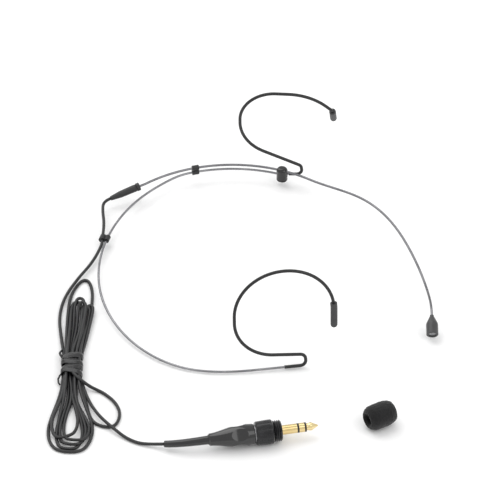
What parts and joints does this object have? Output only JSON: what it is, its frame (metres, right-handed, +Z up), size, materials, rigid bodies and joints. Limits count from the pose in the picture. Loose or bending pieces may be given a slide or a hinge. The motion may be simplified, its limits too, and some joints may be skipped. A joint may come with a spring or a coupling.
{
  "type": "headset microphone",
  "caption": "Wire neckband headset microphone with two ear hooks, a sliding boom with a small capsule, thin cable in a tied hank, locking mini-jack plug and loose foam windscreen.",
  "frame": {"origin": "on the table, under the middle of the headset and its windscreen, without the free cable and its plug", "axes": "+X is the wearer's front, +Y the wearer's left, where the boom is, +Z is up from the table the headset lies on"},
  "size_m": [0.1438, 0.1654, 0.0474],
  "materials": {
    "spring_steel": "polished",
    "boom_steel": "polished",
    "clamp_plastic": "gloss",
    "foot_rubber": "matte",
    "screw_steel": "satin",
    "clip_rubber": "satin",
    "hook_rubber": "satin",
    "tip_rubber": "matte",
    "copper": "bright",
    "gland_plastic": "satin",
    "brass": "bright",
    "cable_jacket": "satin",
    "capsule_paint": "satin",
    "grille_steel": "satin",
    "foam": "open foam",
    "aluminium_can": "plain",
    "diaphragm_film": "metallised film",
    "board": "board",
    "tie_plastic": "gloss",
    "relief_rubber": "gloss",
    "boot_plastic": "gloss",
    "barrel_steel": "satin",
    "insulator_plastic": "satin",
    "ring_metal": "satin black",
    "gold_plate": "polished gold plate"
  },
  "bodies": {
    "headset_frame": {"neckband_wire": "spring_steel", "boom_clamp_body": "clamp_plastic", "boom_clamp_foot": "foot_rubber", "boom_clamp_screw": "screw_steel", "cable_clip": "clip_rubber", "cable_lead_in": "cable_jacket", "cable_drop": "cable_jacket", "cable_side_loop": "cable_jacket", "cable_exit": "cable_jacket", "hank_upper": "cable_jacket", "hank_lower": "cable_jacket", "hank_tie": "tie_plastic", "hank_tie_tail_high": "tie_plastic", "hank_tie_tail_low": "tie_plastic", "strain_relief": "relief_rubber", "relief_cable": "cable_jacket", "plug_boot": "boot_plastic", "plug_barrel": "barrel_steel", "plug_retainer": "barrel_steel", "plug_cable_crimp": "brass", "plug_terminal_disc": "insulator_plastic", "plug_sleeve_contact": "gold_plate", "plug_rear_insulator": "insulator_plastic", "plug_ring_contact": "gold_plate", "plug_front_insulator": "insulator_plastic", "plug_tip_contact": "gold_plate"},
    "boom": {"boom_tube": "boom_steel", "boom_signal_wire": "copper", "gland_sleeve": "gland_plastic", "gland_crimp": "brass", "gland_cable_end": "cable_jacket", "capsule_housing": "capsule_paint", "capsule_grille": "grille_steel", "capsule_dust_foam": "foam", "electret_can": "aluminium_can", "electret_diaphragm": "diaphragm_film", "electret_backplate": "brass", "electret_board": "board", "electret_seat_ring": "hook_rubber"},
    "boom_clip": {"boom_clip": "clip_rubber"},
    "near_hook": {"near_hook_core": "spring_steel", "near_hook_tube": "hook_rubber", "near_hook_tip": "tip_rubber"},
    "far_hook": {"far_hook_core": "spring_steel", "far_hook_tube": "hook_rubber", "far_hook_tip": "tip_rubber"},
    "lock_ring": {"lock_ring": "ring_metal", "lock_thread": "ring_metal"},
    "windscreen": {"windscreen_foam": "foam"}
  },
  "joints": [
    {"name": "boom_slide", "type": "hinge", "parent": "headset_frame", "child": "boom", "pos_m": [-0.013, 0.02349, 0.00315], "axis": [0, 0.0332, -0.9995], "range_deg": [-5, 14], "deforming": ["cable_lead_in"]},
    {"name": "boom_clip_slide", "type": "hinge", "parent": "headset_frame", "child": "boom_clip", "pos_m": [-0.013, 0.02349, 0.00315], "axis": [0, 0.0332, -0.9995], "range_deg": [-1.4, 9]},
    {"name": "near_hook_swivel", "type": "hinge", "parent": "headset_frame", "child": "near_hook", "pos_m": [0.00644, -0.039, 0.00108], "axis": [0.989, 0.1478, 0], "range_deg": [-25, 25]},
    {"name": "far_hook_swivel", "type": "hinge", "parent": "headset_frame", "child": "far_hook", "pos_m": [0.0089, 0.0736, 0.00535], "axis": [1, 0, 0], "range_deg": [-25, 25]},
    {"name": "lock_ring_turn", "type": "hinge", "parent": "headset_frame", "child": "lock_ring", "pos_m": [-0.0214, -0.0839, 0.0045], "axis": [0.9799, 0.1994, 0], "continuous": true},
    {"name": "windscreen_lift", "type": "slide", "parent": "headset_frame", "child": "windscreen", "axis": [0, 0, 1], "range_m": [0, 0.03]}
  ]
}
